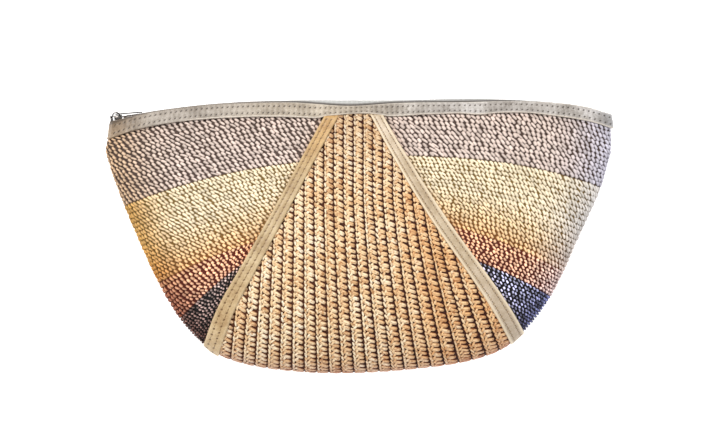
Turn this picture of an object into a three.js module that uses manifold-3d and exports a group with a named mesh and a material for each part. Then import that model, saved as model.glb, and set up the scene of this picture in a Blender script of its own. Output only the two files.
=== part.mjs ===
// A zipped straw clutch bag lying on its back, its front up.
// +X runs to the right of the front, +Y towards the zip, +Z up through the front. Millimetres.
import * as THREE from 'three';
import { mergeVertices } from 'three/addons/utils/BufferGeometryUtils.js';
import Module from 'manifold-3d';

// Walls, measured outwards from their inner face
const SIDE_WALL = 1.6; // fine straw rows of the two sides
const BRAID_VALLEY = 1.0; // between two braids
const BRAID_CREST = 2.1; // on a braid
const TRIM_INNER = 2.5; // inner face of the binding strips
const TRIM_OUTER = 3.7; // outer face of the binding strips
const PIECE_GAP = 0.4; // between neighbouring edges

// The body
const LOWEST_Y = -80.8; // lowest point of the bottom edge, on the inner face of the walls
const OUTLINE_INSET = 1.1; // from the outline to the inner face, across the bag
const BOTTOM_ROUND_FRONT = 46; // height over which the front swells from the bottom edge
const BOTTOM_ROUND_BACK = 30; // height over which the back flattens from the bottom edge
const BACK_PRESS = 1.1; // how firmly the back is pressed flat on what it lies on
const BACK_SQUARENESS = 6;

// The outline seen from the front: height above the lowest point, and where it stands left and right
const OUTLINE = [
  { rise: 0, left: -12.5, right: -12.5 },
  { rise: 2, left: -49, right: 27.5 },
  { rise: 6, left: -71.5, right: 60 },
  { rise: 12, left: -87, right: 81.5 },
  { rise: 17, left: -93.2, right: 90 },
  { rise: 31, left: -106.5, right: 104 },
  { rise: 50, left: -118.3, right: 116.9 },
  { rise: 79, left: -132, right: 130.2 },
  { rise: 108, left: -144.1, right: 143.4 },
  { rise: 127, left: -150.8, right: 149.3 },
  { rise: 133, left: -152, right: 150.6 },
  { rise: 140, left: -150, right: 150.6 },
  { rise: 152, left: -148.4, right: 149.4 },
  { rise: 166, left: -145.5, right: 147 },
].map((row) => ({ ...row, root: Math.sqrt(row.rise) }));

// The depth of the bag: height of its side edges above the floor, swell of the front above them, and how
// square the section is at its two ends
const DEPTH = [
  { rise: 0, edge: 15.5, swell: 20, squareness: 3.4 },
  { rise: 30, edge: 17, swell: 25, squareness: 3.4 },
  { rise: 70, edge: 17, swell: 26, squareness: 3.5 },
  { rise: 110, edge: 14.6, swell: 20.5, squareness: 4 },
  { rise: 140, edge: 11.9, swell: 12, squareness: 5.5 },
  { rise: 163, edge: 10.8, swell: 6.8, squareness: 8 },
];

// The two seams between the centre and the sides
const SEAM = [
  { rise: 8, left: -89.8, right: 99.5 },
  { rise: 20, left: -85.8, right: 93.9 },
  { rise: 39, left: -78.2, right: 83.1 },
  { rise: 60, left: -66.6, right: 68.8 },
  { rise: 91, left: -49.3, right: 46.7 },
  { rise: 129, left: -28.9, right: 23.1 },
  { rise: 160, left: -12.5, right: 6.3 },
];
const TAPE_SPAN = 9.6; // width of a seam tape, measured across the bag
const SIDE_TIP = 3.4; // width of a side panel where it ends under its tape

// The mouth: top edge of the rim band across the bag, from the left corner (-1) to the right one (1),
// and how far the zip stands above it
const RIM = [
  { across: -1, y: 68, zip: 3.3 },
  { across: -0.92, y: 71.4, zip: 1.2 },
  { across: -0.8, y: 74.9, zip: 0.7 },
  { across: -0.6, y: 78.2, zip: 0.9 },
  { across: -0.3, y: 79.3, zip: 2.2 },
  { across: -0.05, y: 77.2, zip: 4.4 },
  { across: 0.16, y: 78.9, zip: 2.8 },
  { across: 0.42, y: 79.35, zip: 3.25 },
  { across: 0.6, y: 79.95, zip: 2.15 },
  { across: 0.72, y: 79.7, zip: 1.5 },
  { across: 0.84, y: 78.5, zip: 1.2 },
  { across: 0.93, y: 76.5, zip: 0.9 },
  { across: 1, y: 73, zip: 0.9 },
];
const WALL_TUCK = 0.8; // the walls end this far below the band's top edge
const BAND_HEIGHT = 8.5;
const BAND_CORNER = { extra: 2, sharpness: 12 }; // extra height where the band turns the left corner
const BAND_JOIN = { at: 1.03, gap: 0.003 }; // where its ends meet on the front, and the share left open
const CORNER_CROWDING = 0.8; // how far the band's steps crowd towards the corners

// The braids of the centre: a fan of lines that opens towards the bottom edge
const BRAID = { first: -8, last: 16.5, upright: -32.7, pitch: 5.85 };
const BRAID_FAN = { opening: 1.6, below: 105, bend: 1.3 };
const BRAID_FLARE = { from: 6, share: 0.0775 };
const CENTRE_CUT = { lowest: -10, step: 15, points: 13, floor: -20, depth: 90 };

// The zip
const COIL = { from: -0.985, to: 0.95, width: 3.4, height: 1.5 };
const ZIP_TAPE = { from: -0.92, thickness: 0.9, below: 1.5, clear: 0.3 };
const SLIDER = { length: 7.6, width: 5.2, nose: 3, plate: 0.7, throat: 2, hold: 4.6 };
const POST = { thickness: 1.6, fromNose: 0.3 };
const BAIL = { length: 5, height: 2.4, width: 1.6, bar: 0.9, sunk: 0.2, fromNose: 4 };
const PULL = { length: 16, width: 4.6, thickness: 0.7, taper: 0.8, droop: 1.5 };
const PULL_EYE = { bar: 0.7, length: 2.7, arm: 1.1 };
const SLOPE_SPAN = 0.08; // stretch of the mouth over which the zip's slope at the slider is taken

// How finely each piece is drawn
const STEPS = {
  braid: 3, aroundBottom: 20, sideAround: 26, sideUp: 14, tapeAcross: 2, bandAround: 64, bandUp: 2,
  zipAlong: 30, zipTapeOut: 2, noseCurve: 6, bailCurve: 5, tabCurve: 8, post: 10,
};
const WELD = 1e-4; // points closer than this are one

// How the places where lines meet edges are looked for
const BOTTOM_SEARCH = { highest: 70, halvings: 30 };
const TIP_SEARCH = { lowest: 8, step: 0.25 };
const SEAM_PASSES = 8;
const NEAR_RIM = 150; // height at which a line's place across the mouth is read

const LOOKS = {
  braid: { color: 0xcdb28f, roughness: 0.8, metalness: 0 },
  straw: { color: 0xd7c5a2, roughness: 0.85, metalness: 0 },
  tape: { color: 0xd0b48c, roughness: 0.6, metalness: 0 },
  band: { color: 0xbfb4a6, roughness: 0.6, metalness: 0 },
  zip: { color: 0x8d8982, roughness: 0.7, metalness: 0 },
  metal: { color: 0xd6d8da, roughness: 0.2, metalness: 1 },
};

const wasm = await Module();
wasm.setup();

// A smooth curve through a table's rows, read at a place along one column; straight on past its ends
function read(rows, along, column, at) {
  const last = rows.length - 1;
  const slope = (k) => {
    const before = rows[Math.max(k - 1, 0)];
    const after = rows[Math.min(k + 1, last)];
    return (after[column] - before[column]) / (after[along] - before[along]);
  };
  if (at <= rows[0][along]) return rows[0][column] + slope(0) * (at - rows[0][along]);
  if (at >= rows[last][along]) return rows[last][column] + slope(last) * (at - rows[last][along]);
  const i = rows.findIndex((row) => row[along] > at) - 1;
  const span = rows[i + 1][along] - rows[i][along];
  const t = (at - rows[i][along]) / span;
  const steady = rows[i][column] * (1 - t) ** 2 * (1 + 2 * t) + rows[i + 1][column] * t ** 2 * (3 - 2 * t);
  return steady + span * (slope(i) * t * (1 - t) ** 2 - slope(i + 1) * t ** 2 * (1 - t));
}

// Half the width of the bag at a height, and the middle of it
function breadth(rise) {
  const root = Math.sqrt(Math.max(rise, 0));
  const left = read(OUTLINE, 'root', 'left', root) + OUTLINE_INSET;
  const right = read(OUTLINE, 'root', 'right', root) - OUTLINE_INSET;
  return { middle: (left + right) / 2, half: Math.max((right - left) / 2, WELD) };
}

const acrossAt = (x, rise) => (x - breadth(rise).middle) / breadth(rise).half;
const rimAt = (across) => read(RIM, 'across', 'y', across);
const quarterRound = (share) => Math.sqrt(1 - (1 - THREE.MathUtils.clamp(share, 0, 1)) ** 2);

// A point on the inner face of the walls, on the front or the back
function wallPoint(across, y, front) {
  const rise = y - LOWEST_Y;
  const { middle, half } = breadth(rise);
  const u = THREE.MathUtils.clamp(across, -1, 1);
  const edge = read(DEPTH, 'rise', 'edge', rise);
  const endRound = (squareness) => Math.sqrt(1 - Math.abs(u) ** squareness);
  const swell = read(DEPTH, 'rise', 'swell', rise) * endRound(read(DEPTH, 'rise', 'squareness', rise));
  const sink = BACK_PRESS * (edge - TRIM_OUTER) * endRound(BACK_SQUARENESS);
  const z = front
    ? edge + swell * quarterRound(rise / BOTTOM_ROUND_FRONT)
    : Math.max(TRIM_OUTER, edge - sink * quarterRound(rise / BOTTOM_ROUND_BACK));
  return new THREE.Vector3(middle + u * half, y, z);
}

// A flat sheet laid on the walls: place(a, b) gives a point of the inner face, and lift(a, b, side) how far
// out the sheet's inner (-1) or outer (1) face stands there
function layOnWall(columns, rows, place, lift) {
  const step = 1e-3;
  const along = (a, b, da, db) => {
    const at = (sign) => place(
      THREE.MathUtils.clamp(a + sign * da, 0, 1), THREE.MathUtils.clamp(b + sign * db, 0, 1));
    return at(1).sub(at(-1));
  };
  const geometry = new THREE.BoxGeometry(1, 1, 1, columns, rows, 1);
  const position = geometry.attributes.position;
  for (let i = 0; i < position.count; i += 1) {
    const a = position.getX(i) + 0.5;
    const b = position.getY(i) + 0.5;
    const outward = along(a, b, step, 0).cross(along(a, b, 0, step)).normalize();
    const point = place(a, b).addScaledVector(outward, lift(a, b, Math.sign(position.getZ(i))));
    position.setXYZ(i, point.x, point.y, point.z);
  }
  return geometry;
}

const betweenFaces = (inner, outer) => (a, b, side) => (side < 0 ? inner : outer);

// The height at which a line down the front reaches the bottom edge
function bottomOf(lineX) {
  let outside = 0;
  let inside = BOTTOM_SEARCH.highest;
  for (let i = 0; i < BOTTOM_SEARCH.halvings; i += 1) {
    const middle = (outside + inside) / 2;
    if (Math.abs(acrossAt(lineX(middle), middle)) > 1) outside = middle;
    else inside = middle;
  }
  return inside;
}

// A place on a line that runs down the back, under the bottom edge and up the front, for b from 0 to 1
function underBottom(lineX, b, belowRim) {
  const run = 2 * b - 1;
  const bottom = bottomOf(lineX);
  const top = rimAt(acrossAt(lineX(NEAR_RIM), NEAR_RIM)) - belowRim - LOWEST_Y;
  const rise = bottom + (top - bottom) * (1 - Math.cos((Math.PI / 2) * Math.abs(run)));
  return wallPoint(acrossAt(lineX(rise), rise), rise + LOWEST_Y, run > 0);
}

function braidLine(number) {
  const flare = BRAID_FLARE.share * Math.max(0, number - BRAID_FLARE.from) ** 2;
  return (rise) => {
    const down = Math.max(0, BRAID_FAN.below - rise) / BRAID_FAN.below;
    const opening = BRAID_FAN.opening * down ** BRAID_FAN.bend;
    return BRAID.upright + BRAID.pitch * number + opening * (number + flare);
  };
}

const seamLine = (side, shift) => (rise) => read(SEAM, 'rise', side, rise) + shift;

function toManifold(geometry) {
  const bare = geometry.clone();
  bare.deleteAttribute('normal');
  bare.deleteAttribute('uv');
  const merged = mergeVertices(bare, WELD);
  return new wasm.Manifold(new wasm.Mesh({
    numProp: 3,
    vertProperties: new Float32Array(merged.attributes.position.array),
    triVerts: new Uint32Array(merged.index.array),
  }));
}

function toGeometry(manifold) {
  const mesh = manifold.getMesh();
  const geometry = new THREE.BufferGeometry();
  geometry.setAttribute('position', new THREE.BufferAttribute(new Float32Array(mesh.vertProperties), 3));
  geometry.setIndex(new THREE.BufferAttribute(new Uint32Array(mesh.triVerts), 1));
  geometry.computeVertexNormals();
  return geometry;
}

// The centre: ribbed by its braids, cut along the two seams
function centrePanel() {
  const count = Math.round((BRAID.last - BRAID.first) * STEPS.braid);
  const numberAt = (a) => BRAID.first + (BRAID.last - BRAID.first) * a;
  const place = (a, b) => underBottom(braidLine(numberAt(a)), b, WALL_TUCK);
  const isValley = (a) => Math.round(a * count) % STEPS.braid === 0;
  const ribbed = layOnWall(count, STEPS.aroundBottom, place, (a, b, side) => {
    if (side < 0) return 0;
    return isValley(a) ? BRAID_VALLEY : BRAID_CREST;
  });
  const rises = Array.from({ length: CENTRE_CUT.points }, (_, i) => CENTRE_CUT.lowest + CENTRE_CUT.step * i);
  const seamPoints = (side, shift) => rises.map(
    (rise) => new THREE.Vector2(seamLine(side, shift)(rise), rise + LOWEST_Y));
  const hourglass = new THREE.Shape([
    ...seamPoints('right', -PIECE_GAP / 2), ...seamPoints('left', PIECE_GAP / 2).reverse()]);
  const cutter = new THREE.ExtrudeGeometry(hourglass, { depth: CENTRE_CUT.depth, bevelEnabled: false });
  cutter.translate(0, 0, CENTRE_CUT.floor);
  return toGeometry(toManifold(ribbed).intersect(toManifold(cutter)));
}

// A side: from its seam on the back, round the side edge, to its seam on the front
function sidePanel(side) {
  const outer = side === 'left' ? -1 : 1;
  const seam = seamLine(side, outer * (PIECE_GAP / 2));
  const widthAt = (rise) => outer * (breadth(rise).middle + outer * breadth(rise).half - seam(rise));
  let tip = TIP_SEARCH.lowest;
  while (widthAt(tip) < SIDE_TIP) tip += TIP_SEARCH.step;
  const tipY = LOWEST_Y + tip;
  const heightAt = (across, b) => tipY + b * (rimAt(across) - WALL_TUCK - tipY);
  const seamAcross = (b) => {
    let across = 0;
    for (let i = 0; i < SEAM_PASSES; i += 1) {
      const rise = heightAt(across, b) - LOWEST_Y;
      across = acrossAt(seam(rise), rise);
    }
    return across;
  };
  const place = (a, b) => {
    const run = -outer * (2 * a - 1);
    const share = 1 - Math.cos((Math.PI / 2) * Math.abs(run));
    const across = outer + (seamAcross(b) - outer) * share;
    return wallPoint(across, heightAt(across, b), run > 0);
  };
  return layOnWall(STEPS.sideAround, STEPS.sideUp, place, betweenFaces(0, SIDE_WALL));
}

// A seam tape: over its seam up the front and the back, under the bottom edge between them
function seamTape(side) {
  const place = (a, b) => underBottom(
    seamLine(side, (a - 0.5) * TAPE_SPAN), b, BAND_HEIGHT + PIECE_GAP);
  return layOnWall(STEPS.tapeAcross, STEPS.aroundBottom, place, betweenFaces(TRIM_INNER, TRIM_OUTER));
}

// The rim band: once round the mouth, from its join to its join, with the closest steps at the corners
function rimBand() {
  const place = (a, b) => {
    const turn = BAND_JOIN.at - 2 * Math.PI * a * (1 - BAND_JOIN.gap);
    const angle = turn - (CORNER_CROWDING / 2) * Math.sin(2 * turn);
    const across = Math.cos(angle);
    const height = BAND_HEIGHT + BAND_CORNER.extra * Math.max(0, -across) ** BAND_CORNER.sharpness;
    return wallPoint(across, rimAt(across) - height * (1 - b), Math.sin(angle) > 0);
  };
  return layOnWall(STEPS.bandAround, STEPS.bandUp, place, betweenFaces(TRIM_INNER, TRIM_OUTER));
}

// The middle of the zip at a place across the mouth, with the walls on both sides of it
function zipLine(across) {
  const y = rimAt(across);
  const front = wallPoint(across, y, true);
  const back = wallPoint(across, y, false);
  const top = y + read(RIM, 'across', 'zip', across);
  return { x: front.x, top, rim: y, front: front.z, back: back.z, middle: (front.z + back.z) / 2 };
}

// A long strip along the zip; section(line, up, out) gives the height and depth of a corner of its section
function alongZip(from, acrossSteps, section) {
  const geometry = new THREE.BoxGeometry(1, 1, 1, STEPS.zipAlong, 1, acrossSteps);
  const position = geometry.attributes.position;
  for (let i = 0; i < position.count; i += 1) {
    const line = zipLine(THREE.MathUtils.lerp(from, COIL.to, position.getX(i) + 0.5));
    const { y, z } = section(line, position.getY(i), position.getZ(i));
    position.setXYZ(i, line.x, y, z);
  }
  return geometry;
}

const zipCoil = () => alongZip(COIL.from, 1, (line, up, out) => ({
  y: line.top + COIL.height * (up - 0.5),
  z: line.middle + COIL.width * out,
}));

function zipTape(front) {
  return alongZip(ZIP_TAPE.from, STEPS.zipTapeOut, (line, up, out) => {
    const fromCoil = front ? out + 0.5 : 0.5 - out;
    const sign = front ? 1 : -1;
    const near = line.middle + sign * (COIL.width / 2 + ZIP_TAPE.clear);
    const far = (front ? line.front : line.back) - sign * ZIP_TAPE.clear;
    const level = THREE.MathUtils.lerp(line.top - COIL.height / 2, line.rim - ZIP_TAPE.below, fromCoil);
    return { y: level + ZIP_TAPE.thickness * up, z: THREE.MathUtils.lerp(near, far, fromCoil) };
  });
}

// The slider's own frame: x along the zip from its nose, y outwards from the mouth, z across the zip
const sliderSeat = zipLine(COIL.from);
const sliderAhead = zipLine(COIL.from + SLOPE_SPAN);
const zipSlope = Math.atan2(sliderAhead.top - sliderSeat.top, sliderAhead.x - sliderSeat.x);
const bailBase = SLIDER.throat / 2 + SLIDER.plate;
const hingeHeight = bailBase + (BAIL.height - BAIL.bar) / 2;

function sliderPlate(level) {
  const half = SLIDER.width / 2;
  const plan = new THREE.Shape();
  plan.moveTo(SLIDER.length, -half);
  plan.lineTo(SLIDER.length, half);
  plan.lineTo(SLIDER.nose, half);
  plan.quadraticCurveTo(0, half, 0, 0);
  plan.quadraticCurveTo(0, -half, SLIDER.nose, -half);
  const drawn = { depth: SLIDER.plate, bevelEnabled: false, curveSegments: STEPS.noseCurve };
  const plate = new THREE.ExtrudeGeometry(plan, drawn);
  plate.rotateX(Math.PI / 2);
  plate.translate(0, level + SLIDER.plate / 2, 0);
  return plate;
}

function sliderBail() {
  const half = BAIL.length / 2;
  const arch = (inset) => {
    const shape = new THREE.Shape();
    shape.moveTo(-half + inset, -BAIL.sunk);
    shape.lineTo(-half + inset, BAIL.height / 2);
    shape.quadraticCurveTo(-half + inset, BAIL.height - inset, 0, BAIL.height - inset);
    shape.quadraticCurveTo(half - inset, BAIL.height - inset, half - inset, BAIL.height / 2);
    shape.lineTo(half - inset, -BAIL.sunk);
    return shape.getPoints(STEPS.bailCurve);
  };
  const outline = new THREE.Shape([...arch(0), ...arch(BAIL.bar).reverse()]);
  const bail = new THREE.ExtrudeGeometry(outline, { depth: BAIL.width, bevelEnabled: false });
  bail.translate(BAIL.fromNose, bailBase, -BAIL.width / 2);
  return bail;
}

function zipSlider() {
  const level = SLIDER.throat / 2 + SLIDER.plate / 2;
  const thick = POST.thickness / 2;
  const post = new THREE.CylinderGeometry(thick, thick, SLIDER.throat + SLIDER.plate, STEPS.post);
  post.translate(thick + POST.fromNose, 0, 0);
  const solid = [sliderPlate(-level), post, sliderBail()].reduce(
    (made, piece) => made.add(toManifold(piece)), toManifold(sliderPlate(level)));
  return toGeometry(solid);
}

// The pull: a flat tab with a window round the bail, its end bar under the arch on the hinge's axis
function zipPull() {
  const half = PULL.width / 2;
  const tab = new THREE.Shape();
  tab.moveTo(-PULL_EYE.bar / 2, -half);
  tab.lineTo(PULL.length - half, -half * PULL.taper);
  tab.absarc(PULL.length - half, 0, half * PULL.taper, -Math.PI / 2, Math.PI / 2);
  tab.lineTo(-PULL_EYE.bar / 2, half);
  const window = new THREE.Path();
  window.moveTo(PULL_EYE.bar / 2, -half + PULL_EYE.arm);
  window.lineTo(PULL_EYE.bar / 2 + PULL_EYE.length, -half + PULL_EYE.arm);
  window.lineTo(PULL_EYE.bar / 2 + PULL_EYE.length, half - PULL_EYE.arm);
  window.lineTo(PULL_EYE.bar / 2, half - PULL_EYE.arm);
  tab.holes.push(window);
  const drawn = { depth: PULL.thickness, bevelEnabled: false, curveSegments: STEPS.tabCurve };
  const pull = new THREE.ExtrudeGeometry(tab, drawn);
  pull.rotateX(Math.PI / 2);
  pull.translate(0, PULL.thickness / 2, 0);
  return pull;
}

const bag = new THREE.Group();

function addPiece(name, geometry, look, parent = bag) {
  const mesh = new THREE.Mesh(geometry, new THREE.MeshStandardMaterial(LOOKS[look]));
  mesh.name = name;
  parent.add(mesh);
  return mesh;
}

addPiece('centre_panel', centrePanel(), 'braid');
addPiece('side_panel_left', sidePanel('left'), 'straw');
addPiece('side_panel_right', sidePanel('right'), 'straw');
addPiece('tape_left', seamTape('left'), 'tape');
addPiece('tape_right', seamTape('right'), 'tape');
addPiece('rim_band', rimBand(), 'band');
addPiece('zip_tape_front', zipTape(true), 'zip');
addPiece('zip_tape_back', zipTape(false), 'zip');
addPiece('zip_coil', zipCoil(), 'zip');

const sliderFrame = new THREE.Group();
sliderFrame.position.set(sliderSeat.x, sliderSeat.top - COIL.height / 2, sliderSeat.middle);
sliderFrame.rotation.z = zipSlope;
bag.add(sliderFrame);
const slider = addPiece('zip_slider', zipSlider(), 'metal', sliderFrame);
slider.position.x = -SLIDER.hold;
const pull = addPiece('zip_pull', zipPull(), 'metal', sliderFrame);
pull.position.set(BAIL.fromNose - SLIDER.hold, hingeHeight, 0);
pull.rotation.z = -THREE.MathUtils.degToRad(PULL.droop);

export default bag;
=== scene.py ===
# A zipped straw clutch bag that lies on its back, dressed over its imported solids
import math

import bmesh
import bpy
import numpy as np
from mathutils import Matrix, Vector


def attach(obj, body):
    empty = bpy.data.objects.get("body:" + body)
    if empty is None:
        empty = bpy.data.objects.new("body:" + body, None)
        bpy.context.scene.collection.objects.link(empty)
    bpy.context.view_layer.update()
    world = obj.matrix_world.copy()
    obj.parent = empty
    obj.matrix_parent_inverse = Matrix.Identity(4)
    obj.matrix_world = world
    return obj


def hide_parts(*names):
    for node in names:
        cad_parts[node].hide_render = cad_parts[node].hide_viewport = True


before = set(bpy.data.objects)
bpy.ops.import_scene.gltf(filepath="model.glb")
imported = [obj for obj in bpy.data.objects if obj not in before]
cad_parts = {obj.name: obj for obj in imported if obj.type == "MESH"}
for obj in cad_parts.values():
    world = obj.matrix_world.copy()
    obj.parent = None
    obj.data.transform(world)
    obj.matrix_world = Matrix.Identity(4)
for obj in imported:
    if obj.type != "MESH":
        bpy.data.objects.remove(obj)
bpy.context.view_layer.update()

mm = 0.001  # tables are in millimetres, meshes in metres
chance = np.random.default_rng(11)


# The wall that every piece lies on, as in the part's source
wall = {
    "lowestY": -80.8,  # lowest point of the bottom edge
    "inset": 1.1,  # from the outline to the inner face
    "frontRound": 46,  # height over which the front swells from the bottom edge
    "backRound": 30,  # height over which the back flattens
    "backPress": 1.1,
    "backSquareness": 6,
    "backStand": 3.7,  # the back's inner face above the floor
    "tuck": 0.8,  # the walls end this far below the band's top edge
    "nearRim": 150,  # height at which a line's place across the mouth is read
    "highestBottom": 70,
}
outline = {
    "rise": [0, 2, 6, 12, 17, 31, 50, 79, 108, 127, 133, 140, 152, 166],
    "left": [
        -12.5, -49, -71.5, -87, -93.2, -106.5, -118.3, -132, -144.1, -150.8, -152, -150, -148.4, -145.5,
    ],
    "right": [-12.5, 27.5, 60, 81.5, 90, 104, 116.9, 130.2, 143.4, 149.3, 150.6, 150.6, 149.4, 147],
}
outline["root"] = np.sqrt(outline["rise"])
depth = {
    "rise": [0, 30, 70, 110, 140, 163],
    "edge": [15.5, 17, 17, 14.6, 11.9, 10.8],
    "swell": [20, 25, 26, 20.5, 12, 6.8],
    "squareness": [3.4, 3.4, 3.5, 4, 5.5, 8],
}
seam = {
    "rise": [8, 20, 39, 60, 91, 129, 160],
    "left": [-89.8, -85.8, -78.2, -66.6, -49.3, -28.9, -12.5],
    "right": [99.5, 93.9, 83.1, 68.8, 46.7, 23.1, 6.3],
}
rim = {
    "across": [-1, -0.92, -0.8, -0.6, -0.3, -0.05, 0.16, 0.42, 0.6, 0.72, 0.84, 0.93, 1],
    "y": [68, 71.4, 74.9, 78.2, 79.3, 77.2, 78.9, 79.35, 79.95, 79.7, 78.5, 76.5, 73],
    "zip": [3.3, 1.2, 0.7, 0.9, 2.2, 4.4, 2.8, 3.25, 2.15, 1.5, 1.2, 0.9, 0.9],
}


def readTable(table, along, column, at):  # a smooth curve through the rows, straight on past its ends
    xs = np.asarray(table[along], float)
    ys = np.asarray(table[column], float)
    at = np.asarray(at, float)
    after = np.minimum(np.arange(len(xs)) + 1, len(xs) - 1)
    before = np.maximum(np.arange(len(xs)) - 1, 0)
    slopes = (ys[after] - ys[before]) / (xs[after] - xs[before])
    inside = np.clip(at, xs[0], xs[-1])
    i = np.clip(np.searchsorted(xs, inside, side="right") - 1, 0, len(xs) - 2)
    span = xs[i + 1] - xs[i]
    t = (inside - xs[i]) / span
    steady = ys[i] * (1 - t) ** 2 * (1 + 2 * t) + ys[i + 1] * t**2 * (3 - 2 * t)
    bend = span * (slopes[i] * t * (1 - t) ** 2 - slopes[i + 1] * t**2 * (1 - t))
    return steady + bend + np.where(at < xs[0], slopes[0], slopes[-1]) * (at - inside)


def breadth(rise):  # middle and half of the bag's width at a height
    root = np.sqrt(np.maximum(rise, 0))
    left = readTable(outline, "root", "left", root) + wall["inset"]
    right = readTable(outline, "root", "right", root) - wall["inset"]
    return (left + right) / 2, np.maximum((right - left) / 2, 1e-4)


def acrossAt(x, rise):
    middle, half = breadth(rise)
    return (x - middle) / half


def rimAt(across):
    return readTable(rim, "across", "y", across)


def quarterRound(share):
    return np.sqrt(1 - (1 - np.clip(share, 0, 1)) ** 2)


def wallPoint(across, y, front):
    rise = y - wall["lowestY"]
    middle, half = breadth(rise)
    u = np.clip(across, -1, 1)
    edge = readTable(depth, "rise", "edge", rise)
    swell = readTable(depth, "rise", "swell", rise)
    ends = np.sqrt(1 - np.abs(u) ** readTable(depth, "rise", "squareness", rise))
    backEnds = np.sqrt(1 - np.abs(u) ** wall["backSquareness"])
    sink = wall["backPress"] * (edge - wall["backStand"]) * backEnds * quarterRound(rise / wall["backRound"])
    z = np.where(
        front,
        edge + swell * ends * quarterRound(rise / wall["frontRound"]),
        np.maximum(wall["backStand"], edge - sink),
    )
    return np.stack(np.broadcast_arrays(middle + u * half, y, z), -1)


def seamX(side, rise):
    return readTable(seam, "rise", side, rise)


def halve(test, inside, outside):  # the place between two where a test first fails
    for _ in range(30):
        middle = (inside + outside) / 2
        good = test(middle)
        inside, outside = np.where(good, middle, inside), np.where(good, outside, middle)
    return inside


def eased(run):  # marks stand close together where a line turns round the edge
    return 1 - np.cos(math.pi / 2 * np.abs(run))


def underBottom(lineX, b, belowRim):  # down the back, under the bottom edge and up the front
    b = np.asarray(b, float)
    run = 2 * b - 1
    highest = np.full_like(b, wall["highestBottom"])
    bottom = halve(lambda rise: np.abs(acrossAt(lineX(rise), rise)) <= 1, highest, np.zeros_like(b))
    mouth = np.full_like(b, wall["nearRim"])
    top = rimAt(acrossAt(lineX(mouth), mouth)) - belowRim - wall["lowestY"]
    rise = bottom + (top - bottom) * eased(run)
    return wallPoint(acrossAt(lineX(rise), rise), rise + wall["lowestY"], run > 0)


def unit(vectors):
    return vectors / np.maximum(np.linalg.norm(vectors, axis=-1, keepdims=True), 1e-12)


def squared(vectors, to):  # turned square to others
    return unit(vectors - to * np.sum(vectors * to, axis=-1, keepdims=True))


def turned(along, out):  # the axes of copies that run along one way and face out
    return np.stack([along, np.cross(out, along), out], 1)


def layOn(place, a, b, top=1):  # points of the inner face, and the way out of it
    step = 1e-3
    lowA, highA = np.clip(a - step, 0, 1), np.clip(a + step, 0, 1)
    lowB, highB = np.clip(b - step, 1 - top, top), np.clip(b + step, 1 - top, top)
    outward = np.cross(place(highA, b) - place(lowA, b), place(a, highB) - place(a, lowB))
    return place(a, b), unit(outward)


def alongLine(points):  # distances along a sampled line, and a reader of values at such distances
    lengths = np.concatenate([[0], np.cumsum(np.linalg.norm(np.diff(points, axis=0), axis=1))])

    def readAt(samples, at):
        return np.stack([np.interp(at, lengths, column) for column in samples.T], -1)

    return lengths, readAt


# Shader boards: a socket that takes part in sums, and a finish that holds its nodes
class Wire:
    def __init__(self, finish, socket):
        self.finish = finish
        self.socket = socket

    def sum(self, operation, first, second):
        return self.finish.node("ShaderNodeMath", {"operation": operation}, {0: first, 1: second})

    def __add__(self, other):
        return self.sum("ADD", self, other)

    def __sub__(self, other):
        return self.sum("SUBTRACT", self, other)

    def __rsub__(self, other):
        return self.sum("SUBTRACT", other, self)

    def __mul__(self, other):
        return self.sum("MULTIPLY", self, other)

    __radd__ = __add__
    __rmul__ = __mul__


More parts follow.
